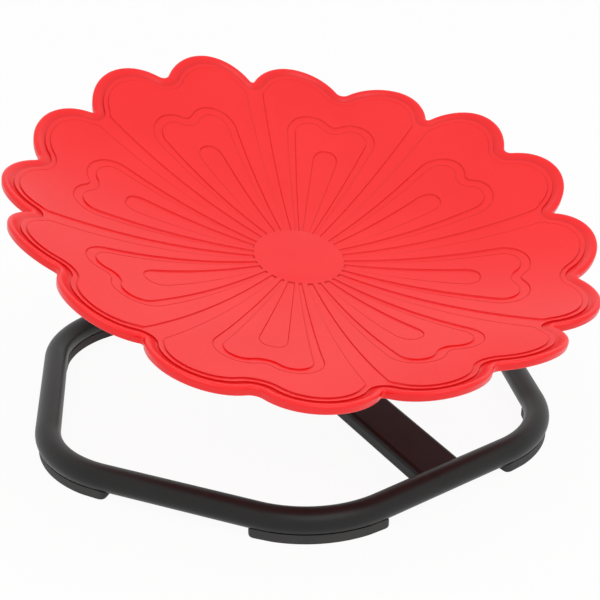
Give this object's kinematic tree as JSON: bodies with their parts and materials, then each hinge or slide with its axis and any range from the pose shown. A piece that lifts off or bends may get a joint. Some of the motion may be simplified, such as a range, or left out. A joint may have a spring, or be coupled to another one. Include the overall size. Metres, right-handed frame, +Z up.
{
  "type": "toddler spinning seat",
  "caption": "Toddler spinning seat: a dished, flower-shaped moulded seat that turns freely on a tilted ball-bearing pivot over a low hexagonal frame of bent tube with foot pads.",
  "frame": {"origin": "on the floor, under the middle of the part's bounding box", "axes": "+Z up; the crossbar runs along Y and the seat's low side faces -Y; X runs across the crossbar"},
  "size_m": [0.5052, 0.5058, 0.2739],
  "materials": {
    "seat_plastic": "satin-gloss red moulded plastic",
    "frame_paint": "satin dark grey powder coat on steel tube",
    "pad_rubber": "fine-grained dark grey moulded rubber",
    "black_plastic": "matt black moulded plastic",
    "zinc_steel": "zinc-plated steel",
    "bearing_steel": "ground bearing steel",
    "brass": "pressed or turned brass"
  },
  "bodies": {
    "base": {"frame_tube": "frame_paint", "crossbar": "frame_paint", "bar_plug": "black_plastic", "foot_pad_1": "pad_rubber", "foot_pad_2": "pad_rubber", "foot_pad_3": "pad_rubber", "foot_pad_4": "pad_rubber", "foot_pad_5": "pad_rubber", "foot_pad_6": "pad_rubber", "foot_screws": "zinc_steel", "bearing_housing": "frame_paint", "lower_outer_ring": "bearing_steel", "upper_outer_ring": "bearing_steel", "outer_spacer": "zinc_steel", "retaining_ring": "zinc_steel"},
    "seat": {"lower_inner_ring": "bearing_steel", "upper_inner_ring": "bearing_steel", "inner_spacer": "zinc_steel", "spindle": "zinc_steel", "thrust_washer": "zinc_steel", "lock_nut": "zinc_steel", "dust_cover": "black_plastic", "seat_plate": "zinc_steel", "seat_screws": "zinc_steel", "spring_washers": "zinc_steel", "threaded_inserts": "brass", "seat_shell": "seat_plastic"},
    "lower_ball_set": {"lower_balls": "bearing_steel", "lower_cage": "brass"},
    "upper_ball_set": {"upper_balls": "bearing_steel", "upper_cage": "brass"}
  },
  "joints": [
    {"name": "seat_spin", "type": "hinge", "parent": "base", "child": "seat", "pos_m": [0, 0.03086, 0.05931], "axis": [0, -0.2588, 0.9659], "continuous": true},
    {"name": "lower_ball_spin", "type": "hinge", "parent": "base", "child": "lower_ball_set", "pos_m": [0, 0.03086, 0.05931], "axis": [0, -0.2588, 0.9659], "continuous": true},
    {"name": "upper_ball_spin", "type": "hinge", "parent": "base", "child": "upper_ball_set", "pos_m": [0, 0.03086, 0.05931], "axis": [0, -0.2588, 0.9659], "continuous": true}
  ],
  "couplings": [
    {"joint": "lower_ball_spin", "follows": "seat_spin", "ratio": 0.38158},
    {"joint": "upper_ball_spin", "follows": "seat_spin", "ratio": 0.38158}
  ]
}
